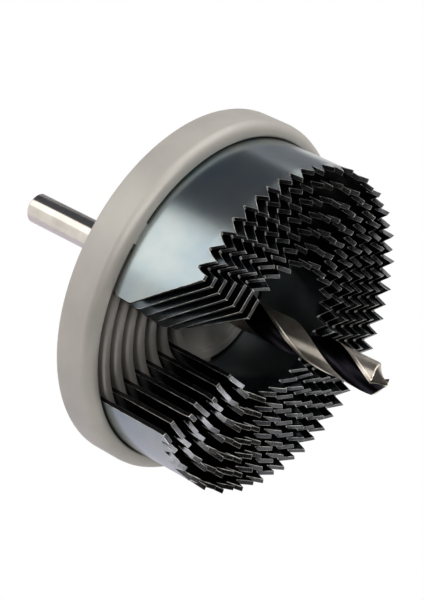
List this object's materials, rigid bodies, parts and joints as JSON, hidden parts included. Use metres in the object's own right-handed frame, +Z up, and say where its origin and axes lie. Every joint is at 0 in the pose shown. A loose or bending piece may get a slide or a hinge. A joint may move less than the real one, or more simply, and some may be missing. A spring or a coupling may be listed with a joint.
{
  "type": "hole saw",
  "caption": "Nested multi-size hole saw: open-ring blued saw blades sit in a grooved die-cast plate round a shanked pilot drill.",
  "frame": {"origin": "on the shank's axis, midway between the hub's rear face and the end chamfer, in the bare length that a drill chuck grips", "axes": "+X along the tool axis towards the drill point, -Y towards the open side of the blades, +Z up"},
  "size_m": [0.087, 0.069, 0.069],
  "materials": {
    "die_cast_metal": "satin",
    "blued_spring_steel": "blued, polished",
    "drill_steel": "ground bright",
    "black_steel": "black oxide"
  },
  "bodies": {
    "root": {"holder_plate": "die_cast_metal", "pilot_drill": "drill_steel", "drill_set_screw": "black_steel", "saw_blade_63": "blued_spring_steel", "saw_blade_57": "blued_spring_steel", "saw_blade_51": "blued_spring_steel", "saw_blade_45": "blued_spring_steel", "saw_blade_39": "blued_spring_steel", "saw_blade_33": "blued_spring_steel", "saw_blade_27": "blued_spring_steel"}
  },
  "joints": []
}
